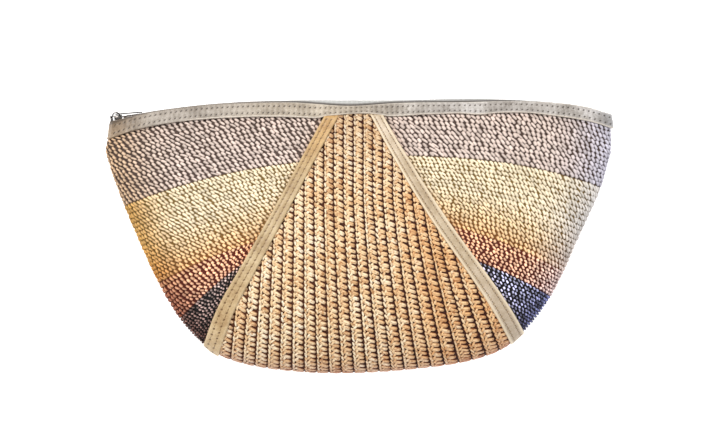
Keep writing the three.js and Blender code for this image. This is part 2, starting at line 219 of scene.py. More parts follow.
class Finish:
    def __init__(self, name, **constants):
        self.material = bpy.data.materials.new(name)
        self.material.use_nodes = True
        self.tree = self.material.node_tree
        self.shader = self.tree.nodes["Principled BSDF"]
        for socket, value in constants.items():
            self.shader.inputs[socket.replace("_", " ")].default_value = value

    def put(self, socket, value):
        if isinstance(value, Wire):
            self.tree.links.new(value.socket, socket)
        else:
            socket.default_value = value

    def node(self, kind, settings, sockets, output=0):
        made = self.tree.nodes.new(kind)
        for name, value in settings.items():
            if name == "stops":
                elements = made.color_ramp.elements
                while len(elements) < len(value):
                    elements.new(1.0)
                for element, (place, colour) in zip(elements, value):
                    element.position = place
                    element.color = colour
            else:
                setattr(made, name, value)
        for key, value in sockets.items():
            self.put(made.inputs[key], value)
        return Wire(self, made.outputs[output])

    def attribute(self, name):
        return self.node("ShaderNodeAttribute", {"attribute_name": name}, {}, "Fac")

    def place(self):
        return self.node("ShaderNodeTexCoord", {}, {}, "Object")

    def noise(self, where, scale, detail=3.0):
        sockets = {"Vector": where, "Scale": scale, "Detail": detail}
        return self.node("ShaderNodeTexNoise", {}, sockets, "Fac")

    def ramp(self, value, stops):  # stops from low to high
        return self.node("ShaderNodeValToRGB", {"stops": stops}, {"Fac": value}, "Color")

    def mix(self, share, first, second, blend="MIX"):
        settings = {"data_type": "RGBA", "blend_type": blend}
        return self.node("ShaderNodeMix", settings, {0: share, 6: first, 7: second}, 2)

    # multiplies a colour by a tint: used for painted shade and painted light as well as for specks
    def multiplyTint(self, colour, share, tint):
        return self.mix(share, colour, shade(*tint), "MULTIPLY")

    def fade(self, value, low, high, start=0.3, end=0.7):  # from one colour to another
        return self.ramp(value, [(start, shade(*low)), (end, shade(*high))])

    def dim(self, colour, strength):  # a colour times a value
        level = self.node("ShaderNodeCombineColor", {}, {0: strength, 1: strength, 2: strength})
        return self.mix(1.0, colour, level, "MULTIPLY")

    def between(self, value, low, high):  # 0 at low, 1 at high
        sockets = {"Value": value, "From Min": low, "From Max": high}
        return self.node("ShaderNodeMapRange", {"interpolation_type": "SMOOTHSTEP"}, sockets)

    def spread(self, value, low, high):  # 0 to 1 laid out from low to high
        return self.node("ShaderNodeMapRange", {}, {"Value": value, "To Min": low, "To Max": high})

    def along(self, where, axis):
        return self.node("ShaderNodeSeparateXYZ", {}, {0: where}, axis)

    def bump(self, height, distance, strength):
        sockets = {"Height": height, "Distance": distance, "Strength": strength}
        return self.node("ShaderNodeBump", {}, sockets, "Normal")

    def feed(self, **links):
        for name, wire in links.items():
            self.put(self.shader.inputs[name.replace("_", " ")], wire)


def shade(red, green, blue):  # a colour as a screen shows it, 0 to 255
    channels = [c / 255 for c in (red, green, blue)]
    return tuple(c / 12.92 if c <= 0.04045 else ((c + 0.055) / 1.055) ** 2.4 for c in channels) + (1.0,)


# Making pieces
def addPiece(name, mesh, finish, body="bag", stands=()):
    mesh.materials.append(finish.material)
    piece = bpy.data.objects.new(name, mesh)
    bpy.context.scene.collection.objects.link(piece)
    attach(piece, body)
    if stands:
        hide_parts(*stands)
    mesh.calc_loop_triangles()
    print("made", name, len(mesh.loop_triangles), "triangles")


def meshOf(name, bm):
    mesh = bpy.data.meshes.new(name)
    for face in bm.faces:
        face.smooth = True
    bm.to_mesh(mesh)
    bm.free()
    return mesh


def openEdges(bm):
    return [edge for edge in bm.edges if edge.is_boundary]


def loftedStrip(name, rings, values):  # rings: along, round the closed section, xyz in millimetres
    along, around = rings.shape[:2]
    bm = bmesh.new()
    bmesh.ops.create_grid(bm, x_segments=around, y_segments=along - 1, size=1)
    layers = {key: bm.verts.layers.float.new(key) for key in values}
    for vert in bm.verts:
        i = round((vert.co.x + 1) / 2 * around) % around
        k = round((vert.co.y + 1) / 2 * (along - 1))
        vert.co = rings[k, i] * mm
        for key, layer in layers.items():
            vert[layer] = values[key][k, i]
    bmesh.ops.remove_doubles(bm, verts=bm.verts, dist=1e-8)
    bmesh.ops.holes_fill(bm, edges=openEdges(bm))
    bmesh.ops.recalc_face_normals(bm, faces=bm.faces)
    return meshOf(name, bm)


def wallSheet(name, place, columns, rows, thickness, valueOf):  # a sheet over the inner face of the wall
    bm = bmesh.new()
    bmesh.ops.create_grid(bm, x_segments=columns, y_segments=rows, size=0.5)
    flat = np.array([vert.co for vert in bm.verts])
    points = place(flat[:, 0] + 0.5, flat[:, 1] + 0.5)
    layers = {key: bm.verts.layers.float.new(key) for key in valueOf}
    found = {key: worth(points) for key, worth in valueOf.items()}
    for i, vert in enumerate(bm.verts):
        vert.co = points[i] * mm
        for key, layer in layers.items():
            vert[layer] = found[key][i]
    bm.normal_update()
    bmesh.ops.solidify(bm, geom=bm.faces[:], thickness=-thickness * mm)
    bmesh.ops.recalc_face_normals(bm, faces=bm.faces)
    return meshOf(name, bm)


def joinCopies(name, shape, copies):  # one mesh of a small shape set down many times
    shape.verts.index_update()
    corners = np.array([vert.co for vert in shape.verts])
    faces = [[vert.index for vert in face.verts] for face in shape.faces]
    shape.free()
    sized = corners[None] * copies["size"][:, None, :]
    points = copies["origin"][:, None, :] + np.einsum("kvi,kij->kvj", sized, copies["axes"])
    count = len(points)
    joined = [[corner + k * len(corners) for corner in face] for k in range(count) for face in faces]
    mesh = bpy.data.meshes.new(name)
    mesh.from_pydata((points.reshape(-1, 3) * mm).tolist(), [], joined)
    mesh.polygons.foreach_set("use_smooth", np.ones(len(joined), bool))
    fields = {"length": np.tile(corners[:, 0], count), "fibre": np.tile(corners[:, 1], count)}
    for key, worth in copies.items():
        if worth.ndim == 1:
            fields[key] = np.repeat(worth, len(corners))
    for key, worth in fields.items():
        mesh.attributes.new(key, "FLOAT", "POINT").data.foreach_set("value", worth.astype(np.float32))
    mesh.update()
    return mesh


def gather(store, keep, **worths):  # adds the copies that are kept to a store of arrays
    for key, worth in worths.items():
        store.setdefault(key, []).append(worth[keep])


def pooled(store):
    return {key: np.concatenate(parts) for key, parts in store.items()}


def quarterTurn(bm, axis):
    bmesh.ops.rotate(bm, verts=bm.verts, cent=(0, 0, 0), matrix=Matrix.Rotation(math.pi / 2, 3, axis))


def lobe(sides, rings, cut=None, fullness=0.0):  # a lobe along x, flat underneath where it is cut
    bm = bmesh.new()
    bmesh.ops.create_uvsphere(bm, u_segments=sides, v_segments=rings, radius=1)
    quarterTurn(bm, "Y")
    if cut is not None:
        bmesh.ops.bisect_plane(
            bm, geom=bm.verts[:] + bm.edges[:] + bm.faces[:], plane_co=(0, 0, cut), plane_no=(0, 0, -1),
            clear_outer=True,
        )
        bmesh.ops.holes_fill(bm, edges=openEdges(bm))
    for vert in bm.verts:
        vert.co.y *= max(1 - vert.co.x**2, 0.01) ** -fullness
    bmesh.ops.recalc_face_normals(bm, faces=bm.faces)
    return bm


# Binding strips of a smooth leather-like stuff, with sunken stitch holes and threads
tape = {
    "span": {  # width measured across the bag
        "rise": [10, 45, 75, 110, 150],
        "left": [10.8, 10.7, 9.8, 8.9, 8.7],
        "right": [11.4, 11.4, 10.4, 9.4, 7.8],
    },
    "stitch": {"left": 4.4, "right": 3.0},
    "rows": {"left": [0.27, 0.64], "right": [0.27, 0.71]},
    "ridgeHighlight": {"left": 0.25, "right": 0.8},  # how strongly the two edges are painted with a highlight
    "belowRim": 5.2,
    "pit": 0.6,
    "waves": [(0.12, 61, 0), (0.1, 23, 2)],  # height, turns and start
    "bottomTuck": 1.3,  # how much closer it lies to the wall on the bottom edge
    "tuckLength": 12,
    "topTuck": 1.1,  # the same under the rim band
    "topTuckFrom": 0.9,  # it starts this far below the band
    "topTuckOver": 1.2,
    "edgeShare": 0.12,
    "section": {  # share across the strip, and height above the wall's inner face
        "across": [
            0.02, 0, 0.012, 0.04, 0.1, 0.18, 0.27, 0.36, 0.46, 0.55, 0.64, 0.71, 0.79, 0.9,
            0.96, 0.988, 1, 0.98, 0.7, 0.3,
        ],
        "lift": [
            2.3, 2.8, 3.3, 3.64, 3.8, 3.7, 3.62, 3.68, 3.72, 3.7, 3.64, 3.64, 3.7, 3.8,
            3.64, 3.3, 2.8, 2.3, 2.4, 2.4,
        ],
    },
    "left": {
        "colours": [(144, 114, 76), (168, 142, 102), (190, 167, 128)],  # shadow, body and shine
        # holes: painted shade in the sunken stitch holes
        "holes": (112, 84, 52),
        "thread": (136, 110, 70),
        "threadReach": 0.3,  # share of a stitch, to each side of its middle
        "lip": (214, 192, 152),
        "axis": "Y",
        "paintedLight": [(0.03, 0.066, (282, 266, 240)), (0.0, -0.06, (296, 300, 310))],  # painted light and shade along the strip: from, to and tint
    },
    "right": {
        "colours": [(158, 137, 108), (178, 158, 129), (198, 180, 154)],
        # holes: painted shade in the sunken stitch holes
        "holes": (150, 124, 90),
        "thread": (94, 72, 44),
        "threadReach": 0.27,
        "lip": (226, 209, 180),
        "axis": "Y",
        # painted light and shade along the strip
        "paintedLight": [(0.03, 0.066, (282, 288, 302)), (0.0, -0.06, (266, 270, 284))],
    },
}
rimBand = {
    "height": 8.5,
    "front": {  # its height on the front, narrow where it crosses the braids
        "x": [-150, -60, -36, -25, -19.5, -14, -6, 3, 9, 13, 17, 25, 36, 48, 60, 72, 84, 102, 114, 130, 150],
        "height": [
            8.5, 8.6, 8.7, 8.2, 6.6, 5.8, 4.8, 4.9, 5.7, 6.6, 7.5, 7.8, 7.2, 6.8, 6.6, 7.5, 6.8, 6.8, 7.6,
            8.4, 8.5,
        ],
    },
    "wearAndShade": {  # painted shadow: the dark top edge, left of the middle, where the band meets the zip
        "x": [-140, -122, -60, -10],
        "down": [1.2, 0.4, 0.4, 0.4],
        "share": [0.37, 0.37, 0.37, 0],
    },
    "cornerTuck": {"left": 1.1, "right": 0.3},  # how much closer it lies to the wall at the two corners
    "tuckSharpness": 20,
    "waves": [(0.07, 408.4, 0), (0.1, 131.9, 0)],
    "pucker": 0.13,  # at the stitches
    "cornerExtra": 2,  # the band is higher where it turns the left corner
    "cornerSharpness": 12,
    "joinAt": 0.975,
    "overlap": 0.4,  # one end lies on the other
    "overlapShare": 0.012,
    "crowding": 0.8,
    "stitch": 3.1,
    "rows": [2.4, 6.4],
    "pit": 0.6,
    "section": {  # distance below the top edge, and height above the wall's inner face
        "down": [
            8.45, 8.66, 8.66, 8.5, 8.2, 7.8, 7.1, 6.4, 5.7, 4.6, 3.6, 3.1, 2.4, 1.7, 1.0, 0.3,
            -0.15, -0.3, -0.1, 0.5, 1.0, 0.6, 0.35, 0.6, 1.5, 5,
        ],
        "lift": [
            2.1, 2.7, 3.3, 3.72, 3.82, 3.62, 3.66, 3.58, 3.66, 3.74, 3.74, 3.68, 3.6, 3.66, 3.68, 3.45,
            2.6, 1.2, 0, -0.6, -0.5, 0, 1, 2, 2.3, 2.2,
        ],
    },
    "lipFrom": 8.15,  # painted highlight below this
    "lipShare": 0.75,
    "paleTop": 0.5,  # and a painted highlight a little above this
    "paleShare": 0.4,
    "lipStarts": (-110, -96),  # there is none left of here
    "colours": [(112, 102, 91), (149, 139, 128), (184, 175, 165)],
    # holes: painted shade in the sunken stitch holes
    "holes": (58, 47, 38),
    "thread": (148, 138, 127),
    "threadReach": 0.3,
    "lip": (216, 206, 193),
    "axis": "X",
    # painted light, brighter and bluer to the right, and painted shade at the two corners
    "paintedLight": [
        (-0.1, -0.03, (271, 267, 256)), (-0.02, 0.06, (271, 283, 308)), (-0.12, -0.152, (236, 216, 190)),
        (0.135, 0.153, (240, 246, 255)),
    ],
}
threads = {"breadth": 0.32, "height": 0.18, "sink": 0.04, "sides": 6, "rings": 5}


def leatherFinish(name, look):
    made = Finish(name)
    where = made.place()
    grain = made.noise(where, 1300, 4)
    patch = made.noise(where, 70, 3)
    crease = made.noise(where, 330, 2)
    level = patch * 0.5 + grain * 0.3 + crease * 0.2
    body = made.ramp(level, [(at, shade(*colour)) for at, colour in zip((0.36, 0.5, 0.64), look["colours"])])
    along = made.along(where, look["axis"])
    # painted light and shade: tints that lighten or darken the strip along one axis, as light falls on it
    for start, end, tint in look["paintedLight"]:
        body = made.multiplyTint(body, made.between(along, start, end), tint)
    # painted highlight: the raised lips and edges are mixed towards the pale lip colour
    edged = made.mix(made.attribute("lip"), body, shade(*look["lip"]))
    # painted shade: the sunken stitch holes, and the band's shaded top edge, take the dark holes colour
    hole = made.between(made.attribute("pit"), 0.0, 0.62)
    made.feed(Base_Color=made.mix(hole, edged, shade(*look["holes"])))
    made.feed(Roughness=made.spread(grain, 0.36, 0.64))
    made.feed(Normal=made.bump(grain * 0.5 + crease, 0.0002, 0.5))
    return made


def threadFinish(name, colour):
    made = Finish(name, Roughness=0.7)
    sockets = {"Vector": made.place(), "Scale": 700.0}
    twist = made.node("ShaderNodeTexWave", {"bands_direction": "DIAGONAL"}, sockets, "Fac")
    low, high = [c * 0.86 for c in colour], [min(255, c * 1.08) for c in colour]
    made.feed(Base_Color=made.fade(twist, low, high, 0.2, 0.8))
    made.feed(Normal=made.bump(twist, 0.0001, 0.5))
    return made


def evenMarks(line, step):  # four marks to each stitch, at even distances along a line
    samples = np.linspace(0, 1, 4001)
    lengths, _ = alongLine(line(samples))
    count = 4 * int(round(lengths[-1] / step))
    return np.interp(np.linspace(0, lengths[-1], count + 1), lengths, samples)


def sewnStrip(name, points, outward, lift, holes, pit, lip, paintedShade=0):  # a strip, and the lines of its holes
    sunk = lift - np.where(holes, pit, 0)
    rings = points + outward * sunk[..., None]
    # the pit mark carries the sunken holes and a share of painted shadow drawn in their colour
    marks = {"pit": np.maximum(holes, paintedShade), "lip": np.broadcast_to(lip, holes.shape)}
    mesh = loftedStrip(name, rings, marks)
    lines = []
    for k in np.flatnonzero(holes.any(axis=0)):
        above = (lift[:, k] - threads["sink"])[:, None]
        lines.append((points[:, k] + outward[:, k] * above, outward[:, k]))
    return mesh, lines


def sewnThreads(name, lines, look):  # threads between the holes of each row
    copies = {}
    for line, outward in lines:
        holes, out = line[0::4], outward[0::4]
        span = np.diff(holes, axis=0)
        along = unit(span)
        out = out[1:] + out[:-1]
        out = squared(out, along)
        reach = np.linalg.norm(span, axis=1) * look["threadReach"]
        wide, high = [np.full_like(reach, threads[key]) for key in ("breadth", "height")]
        size = np.stack([reach, wide, high], -1)
        between = (holes[1:] + holes[:-1]) / 2
        gather(copies, np.ones(len(span), bool), origin=between, axes=turned(along, out), size=size)
    shape = lobe(threads["sides"], threads["rings"])
    finish = threadFinish(name + "Thread", look["thread"])
    addPiece(name, joinCopies(name, shape, pooled(copies)), finish)


def waves(table, at):
    return sum(high * np.sin(at * turns + start) for high, turns, start in table)


def tapeSpan(side, rise):
    return readTable(tape["span"], "rise", side, rise)


def bandHeight(x, front):
    return np.where(front, readTable(rimBand["front"], "x", "height", x), rimBand["height"])


def seamTapes():
    across = np.array(tape["section"]["across"])
    upper = np.array(tape["section"]["lift"]) > 3
    edges = upper & (np.minimum(across, 1 - across) < tape["edgeShare"])
    for side in ("left", "right"):
        def place(a, b):
            def lineX(rise):
                return seamX(side, rise) + (a - 0.5) * tapeSpan(side, rise)

            return underBottom(lineX, b, tape["belowRim"])

        b = evenMarks(lambda b: place(np.full_like(b, 0.5), b), tape["stitch"][side])
        bb, aa = np.meshgrid(b, across, indexing="ij")
        points, outward = layOn(place, aa, bb)
        middle = place(np.full_like(b, 0.5), b)
        lengths, _ = alongLine(middle)
        fromBottom = (lengths - np.interp(0.5, b, lengths)) / tape["tuckLength"]
        fromRim = rimAt(acrossAt(middle[:, 0], middle[:, 1] - wall["lowestY"])) - middle[:, 1]
        tucked = bandHeight(middle[:, 0], b > 0.5) + tape["topTuckFrom"] - fromRim
        under = np.clip(tucked / tape["topTuckOver"], 0, 1)
        tuck = tape["bottomTuck"] * np.exp(-(fromBottom**2)) + tape["topTuck"] * under
        wander = np.where(upper, waves(tape["waves"], b)[:, None], 0)
        lift = np.array(tape["section"]["lift"]) + wander - tuck[:, None]
        atHole = np.arange(len(b)) % 4 == 0
        holes = atHole[:, None] & (np.isin(across, tape["rows"][side]) & upper)
        lip = np.where(edges, tape["ridgeHighlight"][side], 0.0)
        mesh, lines = sewnStrip(side + "Tape", points, outward, lift, holes, tape["pit"], lip)
        leather = leatherFinish(side + "TapeLeather", tape[side])
        addPiece(side + "Tape", mesh, leather, stands=("tape_" + side,))
        sewnThreads(side + "TapeStitches", lines, tape[side])


def bandPlace(a, b):  # once round the mouth; b is the share of the band's height above its lower edge
    turn = rimBand["joinAt"] - 2 * math.pi * a
    angle = turn - rimBand["crowding"] / 2 * np.sin(2 * turn)
    across = np.cos(angle)
    front = np.sin(angle) > 0
    middle, half = breadth(np.full_like(across, wall["nearRim"]))
    corner = rimBand["cornerExtra"] * np.maximum(0, -across) ** rimBand["cornerSharpness"]
    height = bandHeight(middle + across * half, front) + corner
    return wallPoint(across, rimAt(across) - height * (1 - b), front)


def bandRim():
    a = evenMarks(lambda a: bandPlace(a, np.full_like(a, 0.5)), rimBand["stitch"])
    down = np.array(rimBand["section"]["down"])
    aa, dd = np.meshgrid(a, down, indexing="ij")
    points, outward = layOn(bandPlace, aa, 1 - dd / rimBand["height"], top=1.1)
    section = np.array(rimBand["section"]["lift"])
    upper = section > 2.65
    pucker = rimBand["pucker"] * np.cos(np.arange(len(a)) * math.pi / 2)
    raised = waves(rimBand["waves"], a) - pucker * (1 + 0.5 * np.sin(a * 57))
    raised += rimBand["overlap"] * ((a > 1e-6) & (a < rimBand["overlapShare"]))
    across = acrossAt(points[:, 0, 0], np.full(len(a), wall["nearRim"]))
    tuck = np.where(across < 0, rimBand["cornerTuck"]["left"], rimBand["cornerTuck"]["right"])
    raised -= tuck * np.minimum(np.abs(across), 1) ** rimBand["tuckSharpness"]
    lift = section + np.where(upper, raised[:, None], 0)
    atHole = np.arange(len(a)) % 4 == 0
    holes = atHole[:, None] & (np.isin(down, rimBand["rows"]) & upper)
    x = points[:, :1, 0]
    # a painted shadow along the band's top edge, drawn in the holes' colour
    wearAndShade = rimBand["wearAndShade"]
    shadedTo = np.interp(x, wearAndShade["x"], wearAndShade["down"])
    paintedShade = np.where((down < shadedTo) & (section > 1), np.interp(x, wearAndShade["x"], wearAndShade["share"]), 0)
    # a painted highlight on the lower lip and along the top edge
    starts = np.interp(x, rimBand["lipStarts"], (0, 1))
    paleTop = np.where(upper & (down < rimBand["paleTop"]), rimBand["paleShare"] * starts, 0)
    lip = np.where(upper & (down > rimBand["lipFrom"]), rimBand["lipShare"] * starts, paleTop)
    mesh, lines = sewnStrip("band", points, outward, lift, holes, rimBand["pit"], lip, paintedShade)
    addPiece("band", mesh, leatherFinish("bandLeather", rimBand), stands=("rim_band",))
    sewnThreads("bandStitches", lines, rimBand)


# Side panels: slanted straw stitches in rows that bow over the bag and run round its sides
stripes = {
    "left": {"peak": [45.5, 5.3, 7.4], "drop": [13.8, 23.1, 49.5], "power": [2, 2, 2]},
    "right": {"peak": [47.7, 12.6, -2.0], "drop": [6.4, 22.8, 26], "power": [2.9, 2, 2]},
    "dropAt": 100,  # distance from the middle at which a stripe's edge has dropped that far
    "yellowRows": 18,
    "rustRows": 8,
    "greyPitch": 2.7,
    "lowestRow": -44,
    "highestRow": 22,
    "searchFrom": 5.0,  # from the middle, where a row's ends are looked for
    "searchTo": 170.0,
    "colours": {  # row, counted up from the grey stripe's lower edge, and colour
        # the lowest charcoal rows are painted darker, a painted shade towards the bottom edge
        "coalShadedLow": (-36, (206, 198, 200)),
        "coal": (-26.05, (255, 247, 247)),
        "rustLow": (-25.95, (255, 198, 164)),
        "rust": (-18.05, (255, 206, 164)),
        "orange": (-17.95, (242, 198, 144)),
        "yellowLow": (-13, (246, 220, 178)),
        "yellow": (-8, (248, 233, 204)),
        "yellowEdge": (-0.05, (248, 233, 202)),
        "greyEdge": (0.05, (224, 206, 196)),
        "greyTop": (20, (220, 201, 189)),
    },
    "gaps": {  # the same, for the ground that shows between the stitches, dark partly in its own colour and partly as painted shade in the gaps
        "coalShadedLow": (-38, (10, 8, 8)),
        "coal": (-26.05, (14, 10, 10)),
        "rustLow": (-25.95, (76, 22, 12)),
        "rust": (-18.05, (90, 30, 14)),
        "orange": (-17.95, (122, 76, 34)),
        "yellowLow": (-13, (124, 92, 46)),
        "yellow": (-8, (126, 102, 56)),
        "yellowEdge": (-0.05, (124, 100, 56)),
        "greyEdge": (0.05, (82, 66, 60)),
        "greyTop": (20, (76, 60, 52)),
    },
}
stitches = {
    "row": [-40, -26.4, -25.6, -18.5, -16, -10, -0.01, 0.01, 20],
    "pitch": [2.8, 2.8, 3.0, 3.1, 2.8, 2.5, 2.5, 3.05, 3.1],
    "spread": [0.42, 0.42, 0.34, 0.32, 0.24, 0.2, 0.2, 0.22, 0.22],  # of their tones
    "left": {  # degrees from the row's own direction, shares of the room to the next stitch and the next row
        "lean": [52, 52, 54, 54, 52, 50, 50, 50, 50],
        "breadth": [0.62, 0.66, 0.74, 0.76, 0.88, 0.95, 0.95, 0.82, 0.82],
        "reach": [0.76, 0.8, 0.9, 0.94, 1.02, 1.06, 1.06, 1.04, 1.04],
    },
    "right": {
        "lean": [42, 42, 40, 40, 42, 44, 45, 45, 45],
        "breadth": [0.62, 0.66, 0.78, 0.82, 0.93, 1.0, 1.0, 0.95, 0.95],
        "reach": [0.62, 0.64, 0.74, 0.8, 0.94, 1.02, 1.02, 1.02, 1.02],
    },
    "column": {"left": 20, "right": 16},  # how much steeper the line through stitches of row after row is
    "leastLean": 24,
    "brickBelow": -18,  # from here down every other row stands half a stitch aside
    "lift": 0.85,
    "height": 1.15,
    "cut": -0.45,  # they are cut flat this far below their middle
    "fullness": 0.32,
    "underTape": 2.2,  # how far the rows run on under the tapes
    "belowRim": 4.3,  # where they end under the band
    "stripeSplit": 0.15,  # the rows beside the grey stripe's lower edge draw apart
    "phaseAt": {"left": -86, "right": 88},  # from where the stitches of a row are counted
    "strays": {  # how far rows and stitches stray from even
        "row": 0.16, "place": 0.1, "lean": 6, "size": 0.07, "height": 0.1, "shift": 0.1, "tone": 0.07,
    },
    "edgeShade": (20, 7),  # reach and softness of the painted shade and painted light on the bag's side edges
    "seamShade": 2.5,
    "facets": (6, 5),
    "ground": 0.45,
    "samples": 321,
    "shortest": 2,
    "tipWidth": 3.4,  # of the ground where it ends under the tape
    "tipBetween": (60.0, 8.0),
}
sideTints = {
    "left": {  # painted brown shade on the left side edge, darker from the rust stripe down
        "tint": (240, 218, 180), "yellowTint": (216, 168, 70), "share": 1.0, "blend": "MULTIPLY",
        "darkRows": (-16, -21), "darkTint": (128, 78, 58), "deeper": 1.3, "coalTint": (210, 192, 186),
    },
    # painted pale bluish light on the right side edge, and painted blue-grey shade on its charcoal rows
    "right": {
        "tint": (184, 194, 226), "yellowTint": (196, 202, 222), "share": 0.6, "blend": "MIX",
        "darkRows": (-25.8, -26.2), "darkTint": (108, 114, 152), "deeper": 0.2, "coalTint": (232, 240, 276),
    },
}
outerSign = {"left": -1, "right": 1}


def stripeEdges(side, x):
    made = stripes[side]
    out = np.abs(x) / stripes["dropAt"]
    return [peak - drop * out**power for peak, drop, power in zip(made["peak"], made["drop"], made["power"])]


def rowHeight(side, row, x):  # height of a row, counted up from the lower edge of the grey stripe
    greyEdge, rustEdge, coalEdge = stripeEdges(side, x)
    above = stripes["greyPitch"] * np.maximum(row, 0)
    below = (greyEdge - rustEdge) / stripes["yellowRows"] * np.clip(row, -stripes["yellowRows"], 0)
    lowest = (rustEdge - coalEdge) / stripes["rustRows"] * np.minimum(row + stripes["yellowRows"], 0)
    return greyEdge + above + below + lowest


def rowAt(side, x, y):  # which row passes a place
    greyEdge, rustEdge, coalEdge = stripeEdges(side, x)
    above = np.maximum(y - greyEdge, 0) / stripes["greyPitch"]
    below = np.clip(y - greyEdge, rustEdge - greyEdge, 0) / (greyEdge - rustEdge) * stripes["yellowRows"]
    return above + below + np.minimum(y - rustEdge, 0) / (rustEdge - coalEdge) * stripes["rustRows"]


def rowShare(row):
    return (row - stripes["lowestRow"]) / (stripes["highestRow"] - stripes["lowestRow"])


def rowLine(side, row, run):  # run: 1 at the front seam, 0 on the side edge, -1 at the back seam
    outer = outerSign[side]
    row = np.full_like(run, row)

    def riseAt(x):
        return rowHeight(side, row, x) - wall["lowestY"]

    inner = np.full_like(run, outer * stripes["searchFrom"])
    far = np.full_like(run, outer * stripes["searchTo"])
    seamEnd = halve(lambda x: outer * (x - seamX(side, riseAt(x))) < 0, inner, far)
    edgeEnd = halve(lambda x: np.abs(acrossAt(x, riseAt(x))) < 1, inner, far)
    x = edgeEnd + (seamEnd - edgeEnd) * eased(run)
    room = outer * (edgeEnd - seamEnd)[0]
    return wallPoint(acrossAt(x, riseAt(x)), riseAt(x) + wall["lowestY"], run >= 0), room


def sideRows(side):
    run = np.linspace(-1, 1, stitches["samples"]) * -outerSign[side]
    strays = stitches["strays"]
    shadeReach, shadeSoftness = stitches["edgeShade"]
    copies = {}
    for number in range(stripes["lowestRow"], stripes["highestRow"]):
        row = number + 0.5
        line, room = rowLine(side, row, run)
        if room < stitches["shortest"]:
            continue
        way = unit(np.gradient(line, axis=0))
        rowStep = rowLine(side, row + 0.5, run)[0] - rowLine(side, row - 0.5, run)[0]
        outward = unit(np.cross(way, rowStep))
        gap = np.sum(rowStep * np.cross(outward, way), axis=1)
        lengths, readAt = alongLine(line + outward * stitches["lift"])
        tables = {"pitch": stitches["pitch"], "spread": stitches["spread"], **stitches[side]}
        kind = {key: np.interp(row, stitches["row"], table) for key, table in tables.items()}
        pitch = kind["pitch"]
        front = np.flatnonzero(run >= 0)
        order = front[np.argsort(line[front, 0])]
        start = np.interp(stitches["phaseAt"][side], line[order, 0], lengths[order])
        column = math.radians(kind["lean"] + stitches["column"][side])
        climb = math.tan(math.asin(np.interp(start, lengths, way[:, 1])))  # of the row
        aside = chance.normal(0, strays["row"]) + (0.5 * (number % 2) if row < stitches["brickBelow"] else 0)
        phase = ((start - row * np.median(gap) * (1 / math.tan(column) + climb)) / pitch + aside) % 1
        count = int(lengths[-1] / pitch)
        at = (np.arange(count) + phase + chance.normal(0, strays["place"], count)) * pitch
        place, way, out = readAt(line, at), unit(readAt(way, at)), unit(readAt(outward, at))
        up = np.cross(out, way)
        lean = kind["lean"] + chance.normal(0, strays["lean"], count)
        lean = np.radians(np.maximum(lean, stitches["leastLean"]))
        along = way * np.cos(lean)[:, None] - up * np.sin(lean)[:, None]
        reach = np.interp(at, lengths, gap) / np.sin(lean) * kind["reach"]
        reach *= chance.normal(1, strays["size"], count)
        width = pitch * np.sin(lean) * kind["breadth"] * chance.normal(1, strays["size"], count)
        high = stitches["height"] * chance.normal(1, strays["height"], count)
        rise = place[:, 1] - wall["lowestY"]
        fromRim = rimAt(acrossAt(place[:, 0], rise)) - place[:, 1]
        fromSeam = np.abs(place[:, 0] - seamX(side, rise)) - tapeSpan(side, rise) / 2
        fromEdge = np.abs(at - lengths[len(lengths) // 2])
        shift = chance.normal(0, strays["shift"], count)
        shift += stitches["stripeSplit"] * np.sign(row) * (abs(row) < 1)
        tone = chance.normal(0.5, kind["spread"], count) + chance.normal(0, strays["tone"])
        gather(
            copies, (fromRim > stitches["belowRim"]) & (fromSeam > -stitches["underTape"]),
            origin=place + out * stitches["lift"] + up * shift[:, None],
            axes=turned(along, out),
            size=np.stack([reach / 2, width / 2, high], -1),
            rowShare=np.full(count, rowShare(row)),
            tone=np.clip(tone, 0, 1),
            edge=1 / (1 + np.exp((fromEdge - shadeReach) / shadeSoftness)),
            seamShade=np.exp(-np.maximum(fromSeam, 0) / stitches["seamShade"]),
        )
    return pooled(copies)


def stitchShape():  # a plump lobe whose upper end dives under its neighbours
    bm = lobe(*stitches["facets"], stitches["cut"], stitches["fullness"])
    for vert in bm.verts:
        x, y, z = vert.co
        vert.co.z = z * (1 - 0.12 * x) + 0.18 * x - 0.12 * x * x
        vert.co.y = y * (1 + 0.1 * x)
    return bm


def sideSheetPlace(side):
    outer = outerSign[side]

    def wideEnough(rise):
        middle, half = breadth(rise)
        return outer * (middle + outer * half - seamX(side, rise)) > stitches["tipWidth"]

    tipY = wall["lowestY"] + halve(wideEnough, *np.array(stitches["tipBetween"]))

    def heightAt(across, b):
        return tipY + b * (rimAt(across) - wall["tuck"] - tipY)

    def place(a, b):
        seamAcross = np.zeros_like(b)
        for _ in range(8):
            rise = heightAt(seamAcross, b) - wall["lowestY"]
            seamAcross = acrossAt(seamX(side, rise), rise)
        run = -outer * (2 * a - 1)
        across = outer + (seamAcross - outer) * eased(run)
        return wallPoint(across, heightAt(across, b), run > 0)

    return place


def stripeRamp(made, table):
    stops = [(float(rowShare(row)), shade(*colour)) for row, colour in table.values()]
    return made.ramp(made.attribute("rowShare"), stops)


